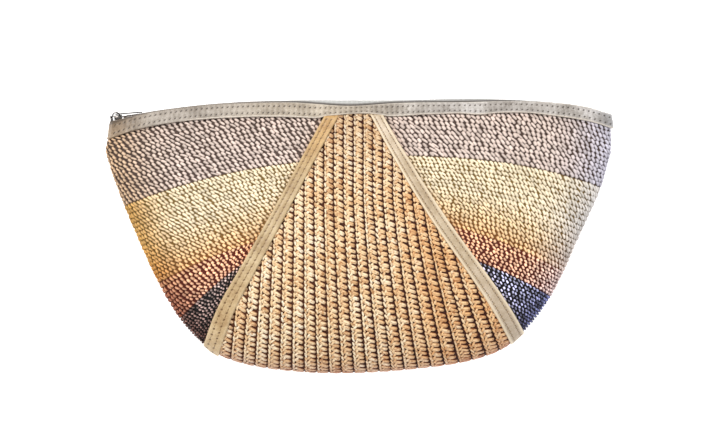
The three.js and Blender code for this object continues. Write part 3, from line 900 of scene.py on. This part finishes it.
def rowsFinish(name, look):
    made = Finish(name, Specular_IOR_Level=0.25)
    where = made.place()

    def overRows(start, end):  # 0 at one row, 1 at another
        return made.between(made.attribute("rowShare"), float(rowShare(start)), float(rowShare(end)))

    coal = overRows(-25.8, -26.2)
    stripe = made.multiplyTint(stripeRamp(made, stripes["colours"]), coal, look["coalTint"])
    # painted light and shade near the side edges: brown shade on the left, pale bluish light on the right
    nearEdge = made.attribute("edge")
    paintedShade = overRows(*look["darkRows"])
    tint = made.mix(overRows(0.4, -0.4), shade(*look["tint"]), shade(*look["yellowTint"]))
    pale = made.mix(nearEdge * (1 - paintedShade) * look["share"], stripe, tint, look["blend"])
    edged = made.multiplyTint(pale, nearEdge * paintedShade, look["darkTint"])
    fibre = made.attribute("fibre")
    length = made.attribute("length")
    patch = made.noise(where, 45, 2)
    grain = made.noise(where, 900, 2)
    low = overRows(-16, -20)
    tone = made.attribute("tone")
    level = tone * (0.42 + low * 0.3) + patch * 0.34 + grain * 0.2 + 0.5 + coal * (tone * 0.7 - 0.36)
    steep = fibre * fibre
    ends = length * length
    # painted shade: the stitches darken towards their sides and ends, towards the gap colour, more so near
    # the side edges
    crease = (steep * steep * 0.85 + ends * ends * 0.3) * (nearEdge * look["deeper"] + 1)
    edgeShaded = made.mix(crease, made.dim(edged, level), stripeRamp(made, stripes["gaps"]))
    # painted shade on the stitches beside the tapes
    tapeEdgeShade = made.attribute("seamShade") * 0.4
    made.feed(Base_Color=made.multiplyTint(edgeShaded, tapeEdgeShade, (190, 150, 104)))
    made.feed(Roughness=0.66 - grain * 0.25)
    lines = made.node("ShaderNodeMath", {"operation": "SINE"}, {0: fibre * 9 + grain * 4})
    made.feed(Normal=made.bump(lines * 0.5 + grain, 0.00012, 0.5))
    return made


def groundFinish(name, scale):  # the dark ground between the straws, partly painted shade in the gaps, and its specks
    made = Finish(name, Roughness=0.9)
    speck = made.noise(made.place(), scale)
    made.feed(Normal=made.bump(speck, 0.0003, 0.6))
    return made, speck


def sidePanels():
    ground, speck = groundFinish("strawGround", 700)
    ground.feed(Base_Color=ground.dim(stripeRamp(ground, stripes["gaps"]), speck * 0.8 + 0.6))
    for side, look in sideTints.items():
        mesh = joinCopies(side + "Rows", stitchShape(), sideRows(side))
        finish = rowsFinish(side + "Straw", look)
        addPiece(side + "Rows", mesh, finish, stands=("side_panel_" + side,))
        worth = {"rowShare": lambda points: rowShare(rowAt(side, points[:, 0], points[:, 1]))}
        sheet = wallSheet(side + "Ground", sideSheetPlace(side), 60, 40, stitches["ground"], worth)
        addPiece(side + "Ground", sheet, ground)


# Centre: flat plaited braids sewn side by side in a fan, each one's left edge over its neighbour
braid = {
    "first": -8,
    "last": 17,
    "upright": -32.7,
    "pitch": 5.85,
    "opening": 1.6,
    "opensBelow": 105,
    "bend": 1.3,
    "flareFrom": 6,
    "flare": 0.0775,
    "samples": 400,
    "strandPitch": 3.3,
    "ground": 1.0,
    "cut": -0.35,
    "reliefOver": 14,  # the braids flatten this near the bottom edge
    "flatLift": 1.0,
    "flatShare": 0.7,  # of a strand's height
    # painted shade: the braids darken over this length next to the bottom edge
    "bottomShade": 8,
    "besideSeam": 0.4,
    "belowRim": 2.5,
    "halvesAt": 10,  # the strands are two pieces, left and right of here
    "strays": {  # how far a braid and its strands stray from even
        "pitch": 0.05, "braidTone": 0.08, "braidSlope": 3,
        "place": 0.06, "slope": 4, "size": 0.06, "tone": 0.24,
    },
    "strand": {  # across and length in shares of the braid's width, ahead and breadth of the strand pitch
        "across": 0.04, "ahead": 0, "lift": 1.4, "slope": -28, "dip": 0.1,
        "length": 0.75, "breadth": 0.94, "height": 0.95, "tone": 0.0, "fullness": 0.22, "facets": (8, 6),
    },
    "crossing": {
        "across": -0.17, "ahead": 0.5, "lift": 1.9, "slope": 46, "dip": 0.0,
        "length": 0.46, "breadth": 0.56, "height": 0.7, "tone": -0.02, "fullness": 0.15, "facets": (6, 6),
    },
    "edge": {
        "across": -0.385, "ahead": 0.2, "lift": 2.0, "slope": -78, "dip": 0.0,
        "length": 0.58, "breadth": 0.44, "height": 0.75, "tone": 0.2, "fullness": 0.2, "facets": (6, 6),
    },
}


def braidX(number):
    flare = number + braid["flare"] * np.maximum(0, number - braid["flareFrom"]) ** 2

    def lineX(rise):
        down = np.maximum(0, braid["opensBelow"] - rise) / braid["opensBelow"]
        return braid["upright"] + braid["pitch"] * number + braid["opening"] * down ** braid["bend"] * flare

    return lineX


def inCentre(points):  # between the seams and not far under the band
    x, y = points[:, 0], points[:, 1]
    rise = y - wall["lowestY"]
    fromSeam = np.minimum(x - seamX("left", rise), seamX("right", rise) - x)
    fromRim = rimAt(np.clip(acrossAt(x, rise), -1, 1)) - y
    return (fromSeam > braid["besideSeam"]) & (fromRim > braid["belowRim"])


def braidPieces():
    stores = {"strand": {}, "crossing": {}, "edge": {}}
    strays = braid["strays"]
    b = np.linspace(0, 1, braid["samples"])
    for number in range(braid["first"], braid["last"]):
        left = underBottom(braidX(float(number)), b, wall["tuck"])
        right = underBottom(braidX(number + 1.0), b, wall["tuck"])
        middle = (left + right) / 2
        way = unit(np.gradient(middle, axis=0))
        outward = unit(np.cross(right - left, way))
        lengths, readAt = alongLine(middle)
        bottom = np.interp(0.5, b, lengths)
        pitch = braid["strandPitch"] * chance.normal(1, strays["pitch"])
        count = int(lengths[-1] / pitch)
        start = chance.random()
        braidTone = chance.normal(0, strays["braidTone"])
        braidSlope = chance.normal(0, strays["braidSlope"])
        for name, store in stores.items():
            kind = braid[name]
            at = np.arange(count) + start + kind["ahead"] + chance.normal(0, strays["place"], count)
            at *= pitch
            place, ahead, out = readAt(middle, at), unit(readAt(way, at)), unit(readAt(outward, at))
            wide = np.linalg.norm(readAt(right - left, at), axis=1)
            relief = np.clip(np.abs(at - bottom) / braid["reliefOver"], 0, 1)
            sideways = np.cross(ahead, out)
            slope = np.radians(kind["slope"] + braidSlope + chance.normal(0, strays["slope"], count))
            along = sideways * np.cos(slope)[:, None] + ahead * np.sin(slope)[:, None]
            normal = unit(out + along * (kind["dip"] * relief)[:, None])
            along = squared(along, normal)
            lift = braid["flatLift"] + (kind["lift"] - braid["flatLift"]) * relief
            origin = place + sideways * (wide * kind["across"])[:, None] + out * lift[:, None]
            length = wide * kind["length"] / (np.cos(slope) if name == "strand" else 1) / 2
            narrowed = math.cos(math.radians(kind["slope"])) if name == "strand" else 1
            size = np.stack([
                length,
                np.full(count, pitch * kind["breadth"] * narrowed / 2),
                kind["height"] * (braid["flatShare"] + (1 - braid["flatShare"]) * relief),
            ], -1)
            size *= chance.normal(1, strays["size"], (count, 3))
            tone = chance.normal(0.5, strays["tone"], count) + braidTone + kind["tone"] * relief
            gather(
                store, inCentre(origin),
                origin=origin,
                axes=turned(along, normal),
                size=size,
                tone=np.clip(tone, 0, 1),
                split=np.full(count, 1.0 if name == "strand" else 0.0),
                # share of painted shade next to the bottom edge
                under=np.exp(-np.abs(at - bottom) / braid["bottomShade"]),
            )
    return {name: pooled(store) for name, store in stores.items()}


def braidFinish():
    made = Finish("plaitedStraw")
    where = made.place()
    fine = made.noise(where, 1100, 3)
    patch = made.noise(where, 30, 2)
    level = made.attribute("tone") * 0.6 + patch * 0.35 + fine * 0.3 - 0.1
    straw = made.ramp(level, [
        (0.0, shade(184, 130, 76)),
        (0.35, shade(238, 202, 152)),
        (0.6, shade(252, 231, 190)),
        (0.9, shade(255, 247, 222)),
    ])
    fibre = made.attribute("fibre")
    length = made.attribute("length")
    steep = fibre * fibre
    parting = made.between(steep, 0.03, 0.0) * made.attribute("split")  # painted shade in the groove between the two straws of a strand
    # painted shade: the strands darken towards their sides and ends
    crease = steep * steep * 1.2 + length * length * 0.36 + parting * 0.4
    fleck = made.between(made.noise(where, 620, 2), 0.52, 0.66)  # worn and shaded spots along the straws
    flecked = made.multiplyTint(straw, fleck * 0.72, (188, 140, 84))
    edgeShaded = made.multiplyTint(flecked, crease, (152, 86, 34))
    x = made.along(where, "X")
    y = made.along(where, "Y")
    golden = made.multiplyTint(edgeShaded, made.between(x, -0.005, 0.05) * 0.47, (234, 190, 126))
    # painted shade under the band: the braids darker and greyer towards the top
    shadedUnderBand = made.multiplyTint(golden, made.between(y, 0.015, 0.07) * 0.8, (226, 218, 214))
    # painted shade on the braids next to the bottom edge
    made.feed(Base_Color=made.multiplyTint(shadedUnderBand, made.attribute("under"), (188, 120, 92)))
    made.feed(Roughness=0.6 - fine * 0.25)
    lines = made.node("ShaderNodeMath", {"operation": "SINE"}, {0: fibre * 8 + fine * 3})
    made.feed(Normal=made.bump(lines * 0.6 + fine, 0.00016, 0.6))
    return made


def centrePanel():
    pieces = braidPieces()
    finish = braidFinish()
    strands = pieces["strand"]
    isLeft = strands["origin"][:, 0] < braid["halvesAt"]
    halves = {"braidsLeft": isLeft, "braidsRight": ~isLeft}
    for name, part in halves.items():
        shape = lobe(*braid["strand"]["facets"], braid["cut"], braid["strand"]["fullness"])
        mesh = joinCopies(name, shape, {key: worth[part] for key, worth in strands.items()})
        addPiece(name, mesh, finish, stands=("centre_panel",) if name == "braidsLeft" else ())
    for name, kind in (("braidCrossings", "crossing"), ("braidEdges", "edge")):
        shape = lobe(*braid[kind]["facets"], fullness=braid[kind]["fullness"])
        addPiece(name, joinCopies(name, shape, pieces[kind]), finish)
    ground, speck = groundFinish("braidGround", 600)
    # a dark brown ground, partly painted shade in the gaps between the braids
    soil = ground.fade(speck, (58, 24, 6), (94, 46, 16), end=0.75)
    x = ground.along(ground.place(), "X")
    ground.feed(Base_Color=ground.multiplyTint(soil, ground.between(x, -0.06, 0.02), (190, 150, 110)))

    def place(a, b):
        def lineX(rise):
            return seamX("left", rise) + (seamX("right", rise) - seamX("left", rise)) * a

        return underBottom(lineX, b, wall["tuck"])

    sheet = wallSheet("braidGround", place, 60, 60, braid["ground"], {})
    addPiece("braidGround", sheet, ground)


# Zip: two woven tapes, a closed coil, a metal slider and its pull
zipper = {
    "coilFrom": -0.985,
    "coilTo": 0.95,
    "coilWidth": 3.4,
    "coilHeight": 1.5,
    "turn": 1.4,
    "tapeFrom": -0.96,
    "tapeThickness": 0.7,
    "tapeBelow": 1.5,
    "clear": 0.3,
    "overlap": 0.3,  # the tapes reach this far under the coil
    "sag": 1.4,
    "slopeSpan": 0.08,
    "raise": {"x": [-143, -139, -70, -45], "up": [0.1, 0.6, 0.4, 0]},  # of the coil, near the slider
    "tooth": {"reach": 0.31, "breadth": 0.36, "height": 0.62, "aside": 0.21, "ahead": 0.25, "slant": 0.16},
    "facets": (8, 6),
}
slider = {
    "length": 7.6,
    "width": 5.2,
    "plate": 0.7,
    "throat": 2.0,
    "hold": 4.6,  # of its length, this much stands out past the coil's end
    "noseRound": 2.5,
    "soften": 0.16,
    "post": 1.6,
    "postAt": 1.1,
    "guide": 0.7,
    "flankAt": 2.2,
    "flankGap": 0.3,  # before and behind the flanks
    "flankSink": 0.2,  # into both plates together
    "flankSoften": 0.12,
    "bailLength": 5.0,
    "bailHeight": 2.4,
    "bailBar": 0.9,
    "bailAt": 4.0,
    "bailBreadth": 1.4,
    "bailSink": 0.1,
    # polished nickel given dark colours, a painted dark reflection
    "nickel": [(70, 67, 65), (124, 120, 117)],
}
slider["bailBase"] = slider["throat"] / 2 + slider["plate"]
pull = {
    "length": 16.0,
    "width": 4.6,
    "thickness": 0.7,
    "taper": 0.8,
    "droop": 1.9,
    "bar": 0.7,
    "window": 2.7,
    "arm": 1.1,
    "bodyAt": [5.5, 9.5],
    "endTurns": [0, 22, 44, 64, 80],  # round its end, in degrees
    "soften": 0.17,
    # darker still, a painted dark reflection that makes the pull read dark from above
    "nickel": [(46, 44, 43), (88, 86, 84)],
}


def zipLine(across):
    y = rimAt(across)
    front = wallPoint(across, y, True)
    back = wallPoint(across, y, False)
    return {
        "x": front[..., 0],
        "top": y + readTable(rim, "across", "zip", across),
        "rim": y,
        "front": front[..., 2],
        "back": back[..., 2],
        "middle": (front[..., 2] + back[..., 2]) / 2,
    }


def zipTapes():
    made = Finish("zipCloth", Roughness=0.85)
    sockets = {"Vector": made.place(), "Scale": 420.0, "Distortion": 1.5}
    weave = made.node("ShaderNodeTexWave", {"bands_direction": "X"}, sockets, "Fac")
    pale = made.fade(weave, (148, 147, 144), (206, 206, 204), 0.2, 0.8)
    paintedShade = made.fade(weave, (60, 54, 50), (92, 84, 78), 0.2, 0.8)
    # painted shadow: the tape is darker close to the rim, under the band's top edge
    made.feed(Base_Color=made.mix(made.between(made.attribute("aboveRim"), 3.0, 1.2), pale, paintedShade))
    made.feed(Normal=made.bump(weave, 0.00015, 0.6))
    line = zipLine(np.linspace(zipper["tapeFrom"], zipper["coilTo"], 180))
    share = np.array([0, 0.25, 0.5, 0.75, 1, 1, 0.75, 0.5, 0.25, 0])
    up = np.array([1, 1, 1, 1, 1, -1, -1, -1, -1, -1]) * zipper["tapeThickness"] / 2
    start = line["top"] - zipper["coilHeight"] / 2
    fall = line["rim"] - zipper["tapeBelow"] - start
    for name, sign in (("front", 1), ("back", -1)):
        near = line["middle"] + sign * (zipper["coilWidth"] / 2 - zipper["overlap"])
        far = line[name] - sign * zipper["clear"]
        y = start[:, None] + fall[:, None] * share ** zipper["sag"] + up
        z = near[:, None] + (far - near)[:, None] * share
        rings = np.stack([np.broadcast_to(line["x"][:, None], y.shape), y, z], -1)
        mesh = loftedStrip(name + "ZipTape", rings, {"aboveRim": y - line["rim"][:, None]})
        addPiece(name + "ZipTape", mesh, made, stands=("zip_tape_" + name,))


def zipCoil():
    made = Finish("zipNylon", Roughness=0.35)
    where = made.place()
    fine = made.noise(where, 800)
    x = made.along(where, "X")
    pale = made.fade(fine, (136, 135, 132), (186, 186, 184))
    # painted shadow: the coil is dark brown-grey towards its left end, behind the band
    made.feed(Base_Color=made.mix(made.between(x, 0.01, -0.09), pale, shade(92, 76, 64)))
    made.feed(Normal=made.bump(fine, 0.00008, 0.4))
    line = zipLine(np.linspace(zipper["coilFrom"], zipper["coilTo"], 3000))
    path = np.stack([line["x"], line["top"] - zipper["coilHeight"] / 2, line["middle"]], -1)
    lengths, readAt = alongLine(path)
    count = int(lengths[-1] / zipper["turn"])
    at = (np.arange(count) + 0.5) * zipper["turn"]
    ahead = unit(readAt(np.gradient(path, axis=0), at))
    centre = readAt(path, at)
    centre[:, 1] += np.interp(centre[:, 0], zipper["raise"]["x"], zipper["raise"]["up"])
    sideways = squared(np.array([0.0, 0, 1]), ahead)
    out = np.cross(sideways, ahead)
    tooth = zipper["tooth"]
    halfSize = [
        zipper["coilWidth"] * tooth["reach"], zipper["turn"] * tooth["breadth"],
        zipper["coilHeight"] * tooth["height"],
    ]
    apart = sideways * zipper["coilWidth"] * tooth["aside"] + ahead * zipper["turn"] * tooth["ahead"]
    copies = {}
    for sign in (1, -1):
        along = unit(sideways * sign + ahead * tooth["slant"])
        gather(
            copies, np.ones(count, bool),
            origin=centre + apart * sign,
            axes=turned(along, out),
            size=np.tile(halfSize, (count, 1)),
        )
    shape = lobe(*zipper["facets"])
    for vert in shape.verts:
        vert.co.z = vert.co.z * 0.5 + 0.35 * (1 - vert.co.x**2)
    addPiece("coil", joinCopies("coil", shape, pooled(copies)), made, stands=("zip_coil",))


def sliderFrame():  # x along the zip, y outwards from the mouth, z across the zip
    seat = zipLine(np.array(zipper["coilFrom"]))
    ahead = zipLine(np.array(zipper["coilFrom"] + zipper["slopeSpan"]))
    slope = math.atan2(ahead["top"] - seat["top"], ahead["x"] - seat["x"])
    at = Vector((seat["x"], seat["top"] - zipper["coilHeight"] / 2, seat["middle"]))
    return Matrix.Translation(at) @ Matrix.Rotation(slope, 4, "Z")


def soften(bm, edges, offset, segments):
    bmesh.ops.bevel(
        bm, geom=edges, offset=offset, segments=segments, affect="EDGES", profile=0.5, material=-1,
        clamp_overlap=True,
    )


def sharpEdges(bm):
    return [edge for edge in bm.edges if edge.is_manifold and edge.calc_face_angle() > 0.5]


def block(size, at):
    bm = bmesh.new()
    bmesh.ops.create_cube(bm, size=1)
    bmesh.ops.scale(bm, verts=bm.verts, vec=size)
    bmesh.ops.translate(bm, verts=bm.verts, vec=at)
    return bm


def sliderPlates():  # two plates with rounded noses, and the flanks between them
    parts = []
    guideLength = slider["length"] - slider["noseRound"] - 2 * slider["flankGap"]
    flankSize = (guideLength, slider["throat"] + slider["flankSink"], slider["guide"])
    for side in (-1, 1):
        level = side * (slider["throat"] + slider["plate"]) / 2
        plate = block((slider["length"], slider["plate"], slider["width"]), (slider["length"] / 2, level, 0))
        nose = [edge for edge in plate.edges if max(v.co.x for v in edge.verts) < 0.1]
        upright = [edge for edge in nose if abs(edge.verts[0].co.y - edge.verts[1].co.y) > 0.1]
        soften(plate, upright, slider["noseRound"], 6)
        soften(plate, sharpEdges(plate), slider["soften"], 2)
        parts.append(plate)
        middle = slider["noseRound"] + slider["flankGap"] + guideLength / 2
        flank = block(flankSize, (middle, 0, side * slider["flankAt"]))
        soften(flank, flank.edges[:], slider["flankSoften"], 2)
        parts.append(flank)
    return parts


def sliderPost():
    bm = bmesh.new()
    radius = slider["post"] / 2
    tall = slider["throat"] + slider["plate"]
    bmesh.ops.create_cone(bm, cap_ends=True, segments=16, radius1=radius, radius2=radius, depth=tall)
    quarterTurn(bm, "X")
    bmesh.ops.translate(bm, verts=bm.verts, vec=(slider["postAt"], 0, 0))
    return bm


def sliderBail():  # the arch that holds the pull
    bm = bmesh.new()
    reach = (slider["bailLength"] - slider["bailBar"]) / 2
    bmesh.ops.create_circle(bm, segments=10, radius=slider["bailBar"] / 2)
    quarterTurn(bm, "X")
    bmesh.ops.translate(bm, verts=bm.verts, vec=(-reach, 0, 0))
    ring = bm.verts[:] + bm.edges[:]
    bmesh.ops.spin(bm, geom=ring, cent=(0, 0, 0), axis=(0, 0, 1), angle=-math.pi, steps=14)
    bmesh.ops.holes_fill(bm, edges=openEdges(bm))
    rise = (slider["bailHeight"] - slider["bailBar"] / 2) / reach
    bmesh.ops.scale(bm, verts=bm.verts, vec=(1, rise, slider["bailBreadth"]))
    up = slider["bailBase"] - slider["bailSink"]
    bmesh.ops.translate(bm, verts=bm.verts, vec=(slider["bailAt"], up, 0))
    return bm


def pullTab():  # a flat tab with a window at its eye and a rounded end
    half = pull["width"] / 2
    straightEnd = pull["length"] - half
    places = [-pull["bar"] / 2, pull["bar"] / 2, pull["bar"] / 2 + pull["window"], *pull["bodyAt"]]
    stations = [(x, 1 - (1 - pull["taper"]) * max(0, x) / straightEnd) for x in places]
    for angle in pull["endTurns"]:
        turn = math.radians(angle)
        stations.append((straightEnd + half * math.sin(turn), pull["taper"] * math.cos(turn)))
    inner = (half - pull["arm"]) / half
    rows = [-1, -inner, inner, 1]
    columns = len(stations) - 1
    bm = bmesh.new()
    bmesh.ops.create_grid(bm, x_segments=columns, y_segments=3, size=1)
    window = []
    for face in bm.faces:
        middle = face.calc_center_median()
        column = (middle.x + 1) / 2 * columns
        if 1 < column < 2 and abs(middle.y) < 0.3:
            window.append(face)
    for vert in bm.verts:
        x, share = stations[round((vert.co.x + 1) / 2 * columns)]
        row = rows[round((vert.co.y + 1) / 2 * 3)]
        vert.co = (x, pull["thickness"] / 2, -row * half * share)
    bmesh.ops.delete(bm, geom=window, context="FACES")
    bm.normal_update()
    bmesh.ops.solidify(bm, geom=bm.faces[:], thickness=pull["thickness"])
    bmesh.ops.recalc_face_normals(bm, faces=bm.faces)
    soften(bm, sharpEdges(bm), pull["soften"], 2)
    return bm


def metalFinish(name, low, high):
    made = Finish(name, Metallic=1.0)
    where = made.place()
    wearAndShade = made.noise(where, 700, 4)
    made.feed(Base_Color=made.fade(wearAndShade, low, high))
    made.feed(Roughness=made.spread(wearAndShade, 0.12, 0.36))
    made.feed(Normal=made.bump(made.noise(where, 2400, 2), 0.00004, 0.3))
    return made


def zipSlider():
    bodyMetal = metalFinish("sliderNickel", *slider["nickel"])
    tabMetal = metalFinish("pullNickel", *pull["nickel"])
    seat = Matrix.Scale(mm, 4) @ sliderFrame()
    joined = bmesh.new()
    for part in sliderPlates() + [sliderPost(), sliderBail()]:
        mesh = meshOf("sliderPart", part)
        joined.from_mesh(mesh)
        bpy.data.meshes.remove(mesh)
    bmesh.ops.recalc_face_normals(joined, faces=joined.faces)
    hold = Matrix.Translation((-slider["hold"], 0, 0))
    bmesh.ops.transform(joined, matrix=seat @ hold, verts=joined.verts)
    addPiece("sliderBody", meshOf("sliderBody", joined), bodyMetal, stands=("zip_slider",))
    tab = pullTab()
    up = slider["bailBase"] + (slider["bailHeight"] - slider["bailBar"]) / 2
    hinge = Matrix.Translation((slider["bailAt"] - slider["hold"], up, 0))
    droop = Matrix.Rotation(-math.radians(pull["droop"]), 4, "Z")
    bmesh.ops.transform(tab, matrix=seat @ hinge @ droop, verts=tab.verts)
    addPiece("pullTab", meshOf("pullTab", tab), tabMetal, body="pull", stands=("zip_pull",))


# The floor, the light and the camera
studio = {
    "lookAt": (0.3, 10.2),  # the middle of the view
    "viewWidth": 432,  # across the view, at the height of the bag's edges
    "edgeHeight": 15,
    "cameraHeight": 2400,
    "floorDrop": 0.7,
    "floorHalf": 6,  # metres
    "worldStrength": 0.5,
    "key": {"at": (-0.55, 0.75, 1.35), "size": 0.35, "power": 22, "colour": (1, 0.98, 0.95)},
    "fill": {"at": (0.9, -0.4, 1.2), "size": 0.9, "power": 6, "colour": (0.95, 0.97, 1)},
}


def lamp(name):
    made = studio[name]
    data = bpy.data.lights.new(name, "AREA")
    data.shape = "DISK"
    data.size = made["size"]
    data.energy = made["power"]
    data.color = made["colour"]
    holder = bpy.data.objects.new(name, data)
    holder.location = made["at"]
    holder.rotation_euler = (-holder.location).to_track_quat("-Z", "Y").to_euler()
    holder.visible_camera = False
    bpy.context.scene.collection.objects.link(holder)


def setStudio():
    bm = bmesh.new()
    bmesh.ops.create_grid(bm, x_segments=1, y_segments=1, size=studio["floorHalf"])
    bmesh.ops.translate(bm, verts=bm.verts, vec=(0, 0, -studio["floorDrop"] * mm))
    floor = bpy.data.objects.new("floor", meshOf("floor", bm))
    paper = Finish("floorPaper", Roughness=0.9, Emission_Color=(1, 1, 1, 1), Emission_Strength=0.75)
    speck = paper.noise(paper.place(), 60)
    paper.feed(Base_Color=paper.fade(speck, (242, 242, 242), (246, 246, 246)))
    floor.data.materials.append(paper.material)
    bpy.context.scene.collection.objects.link(floor)
    world = bpy.data.worlds.new("studioWorld")
    world.use_nodes = True
    world.node_tree.nodes["Background"].inputs["Color"].default_value = (1, 1, 1, 1)
    world.node_tree.nodes["Background"].inputs["Strength"].default_value = studio["worldStrength"]
    bpy.context.scene.world = world
    lamp("key")
    lamp("fill")
    camera = bpy.data.cameras.new("camera")
    camera.lens = camera.sensor_width * (studio["cameraHeight"] - studio["edgeHeight"]) / studio["viewWidth"]
    holder = bpy.data.objects.new("camera", camera)
    holder.location = (studio["lookAt"][0] * mm, studio["lookAt"][1] * mm, studio["cameraHeight"] * mm)
    bpy.context.scene.collection.objects.link(holder)
    bpy.context.scene.camera = holder
    bpy.context.scene.view_settings.view_transform = "Standard"
    print("studio set")


sidePanels()
centrePanel()
seamTapes()
bandRim()
zipTapes()
zipCoil()
zipSlider()
setStudio()
